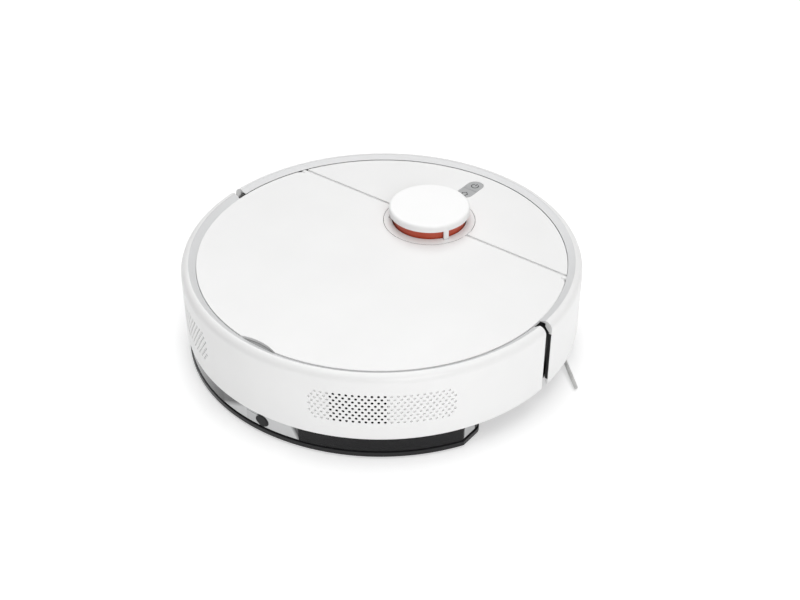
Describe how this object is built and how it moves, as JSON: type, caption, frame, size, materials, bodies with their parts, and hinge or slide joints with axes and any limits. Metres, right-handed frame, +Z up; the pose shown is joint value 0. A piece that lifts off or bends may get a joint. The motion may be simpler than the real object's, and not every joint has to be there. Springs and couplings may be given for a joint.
{
  "type": "robot vacuum",
  "caption": "Round robot vacuum and mop with a laser turret, sprung bumper, hinged lid over the dust bin, driven wheels, brushes, caster and a slide-out mop module with water tank.",
  "frame": {"origin": "on the floor, under the axis of the round body", "axes": "+Y the way the robot drives, towards the bumper; +X to its right; +Z up"},
  "size_m": [0.3633, 0.35, 0.097],
  "materials": {
    "shell_white": "fine satin moulded shell",
    "rim_grey": "satin light grey",
    "button_grey": "satin mid grey",
    "chassis_dark": "fine textured dark moulding",
    "frame_black": "black moulding",
    "orange_accent": "orange red",
    "brush_red": "red elastic blades",
    "smoke_clear": "smoked clear, polished",
    "bin_clear": "smoked clear",
    "gloss_black": "polished black window",
    "steel": "plain",
    "tyre_black": "lugged rubber",
    "part_grey": "satin grey moulding",
    "board_green": "solder mask",
    "cell_blue": "shrink wrap",
    "filter_white": "pleated paper",
    "mop_grey": "dark looped microfibre",
    "bristle_white": "nylon bristles",
    "belt_black": "toothed belt"
  },
  "bodies": {
    "chassis": {"base_tray": "chassis_dark", "side_wall": "shell_white", "mid_deck": "frame_black", "front_cover": "shell_white", "bumper_springs": "steel", "bumper_switches": "frame_black", "turret_ring": "rim_grey", "turret_base": "frame_black", "laser_bearing": "steel", "laser_motor": "steel", "laser_belt": "belt_black", "button_board": "board_green", "main_board": "board_green", "battery_pack": "cell_blue", "battery_cover": "chassis_dark", "dust_bin": "bin_clear", "bin_filter": "filter_white", "fan_housing": "chassis_dark", "fan_motor": "steel", "brush_housing": "chassis_dark", "roller_bearings": "steel", "brush_motor": "steel", "brush_belt": "belt_black", "side_brush_motor": "part_grey", "wheel_housings": "frame_black", "arm_pivots": "steel", "arm_springs": "steel", "caster_socket": "frame_black", "charging_contacts": "steel", "cliff_sensors": "gloss_black", "screws": "steel"},
    "bumper": {"bumper": "shell_white", "bumper_window": "gloss_black"},
    "lid": {"lid": "shell_white", "hinge_pins": "steel"},
    "laser_head": {"laser_head": "orange_accent"},
    "laser_pulley": {"laser_pulley": "part_grey"},
    "turret_cap": {"turret_cap": "shell_white"},
    "power_button": {"power_button": "button_grey"},
    "home_button": {"home_button": "button_grey"},
    "arm_right": {"wheel_arm_right": "chassis_dark"},
    "arm_left": {"wheel_arm_left": "chassis_dark"},
    "wheel_right": {"wheel_hub_right": "part_grey", "wheel_tyre_right": "tyre_black"},
    "wheel_left": {"wheel_hub_left": "part_grey", "wheel_tyre_left": "tyre_black"},
    "caster_fork": {"caster_fork": "part_grey", "caster_axle": "steel"},
    "caster_wheel": {"caster_wheel": "tyre_black"},
    "side_brush": {"side_brush_hub": "rim_grey", "side_brush_tufts": "bristle_white"},
    "main_roller": {"main_roller": "brush_red"},
    "brush_pulley": {"brush_pulley": "part_grey"},
    "fan_impeller": {"fan_impeller": "part_grey"},
    "brush_cover": {"brush_cover": "chassis_dark"},
    "mop_module": {"water_tank": "smoke_clear", "tank_plug": "frame_black", "mop_plate": "chassis_dark", "mop_cloth": "mop_grey"},
    "mop_latch": {"mop_latch": "gloss_black"}
  },
  "joints": [
    {"name": "bumper_push", "type": "slide", "parent": "chassis", "child": "bumper", "axis": [0, -1, 0], "range_m": [0, 0.0045], "stiffness_N_per_m": 600, "springref_m": -0.002, "deforming": ["bumper_springs"]},
    {"name": "lid_hinge", "type": "hinge", "parent": "chassis", "child": "lid", "pos_m": [0, 0.067, 0.0785], "axis": [-1, 0, 0], "range_deg": [0, 80]},
    {"name": "laser_spin", "type": "hinge", "parent": "chassis", "child": "laser_head", "pos_m": [0, 0.0698, 0.08], "axis": [0, 0, 1], "continuous": true},
    {"name": "laser_pulley_spin", "type": "hinge", "parent": "chassis", "child": "laser_pulley", "pos_m": [-0.038, 0.112, 0.067], "axis": [0, 0, 1], "continuous": true},
    {"name": "cap_press", "type": "slide", "parent": "chassis", "child": "turret_cap", "axis": [0, 0, -1], "range_m": [0, 0.0008], "stiffness_N_per_m": 3000, "springref_m": -0.0003},
    {"name": "power_press", "type": "slide", "parent": "chassis", "child": "power_button", "axis": [0, 0, -1], "range_m": [0, 0.0008], "stiffness_N_per_m": 1500, "springref_m": -0.0005},
    {"name": "home_press", "type": "slide", "parent": "chassis", "child": "home_button", "axis": [0, 0, -1], "range_m": [0, 0.0008], "stiffness_N_per_m": 1500, "springref_m": -0.0005},
    {"name": "suspension_right", "type": "hinge", "parent": "chassis", "child": "arm_right", "pos_m": [0.115, 0.055, 0.038], "axis": [1, 0, 0], "range_deg": [0, 28], "stiffness_Nm_per_rad": 0.3, "springref_deg": 51.57, "deforming": ["arm_springs"]},
    {"name": "suspension_left", "type": "hinge", "parent": "chassis", "child": "arm_left", "pos_m": [-0.115, 0.055, 0.038], "axis": [1, 0, 0], "range_deg": [0, 28], "stiffness_Nm_per_rad": 0.3, "springref_deg": 51.57, "deforming": ["arm_springs"]},
    {"name": "wheel_right_spin", "type": "hinge", "parent": "arm_right", "child": "wheel_right", "pos_m": [0.115, 0, 0.035], "axis": [1, 0, 0], "continuous": true},
    {"name": "wheel_left_spin", "type": "hinge", "parent": "arm_left", "child": "wheel_left", "pos_m": [-0.115, 0, 0.035], "axis": [1, 0, 0], "continuous": true},
    {"name": "caster_swivel", "type": "hinge", "parent": "chassis", "child": "caster_fork", "pos_m": [0, 0.126, 0.03], "axis": [0, 0, 1], "continuous": true},
    {"name": "caster_roll", "type": "hinge", "parent": "caster_fork", "child": "caster_wheel", "pos_m": [0, 0.119, 0.013], "axis": [1, 0, 0], "continuous": true},
    {"name": "side_brush_spin", "type": "hinge", "parent": "chassis", "child": "side_brush", "pos_m": [0.118, 0.092, 0.01], "axis": [0, 0, 1], "continuous": true},
    {"name": "roller_spin", "type": "hinge", "parent": "chassis", "child": "main_roller", "pos_m": [0, 0, 0.024], "axis": [1, 0, 0], "continuous": true},
    {"name": "brush_pulley_spin", "type": "hinge", "parent": "chassis", "child": "brush_pulley", "pos_m": [-0.0862, 0.043, 0.048], "axis": [1, 0, 0], "continuous": true},
    {"name": "impeller_spin", "type": "hinge", "parent": "chassis", "child": "fan_impeller", "pos_m": [0.09, -0.09, 0.0474], "axis": [1, 0, 0], "continuous": true},
    {"name": "brush_cover_pull", "type": "slide", "parent": "chassis", "child": "brush_cover", "axis": [0, 0, -1], "range_m": [0, 0.02]},
    {"name": "mop_pull", "type": "slide", "parent": "chassis", "child": "mop_module", "axis": [0, -1, 0], "range_m": [0, 0.11]},
    {"name": "latch_press", "type": "slide", "parent": "mop_module", "child": "mop_latch", "axis": [0, 1, 0], "range_m": [0, 0.002], "stiffness_N_per_m": 1500, "springref_m": -0.0005}
  ],
  "couplings": [
    {"joint": "laser_pulley_spin", "follows": "laser_spin", "ratio": 4},
    {"joint": "brush_pulley_spin", "follows": "roller_spin", "ratio": 1.8}
  ]
}
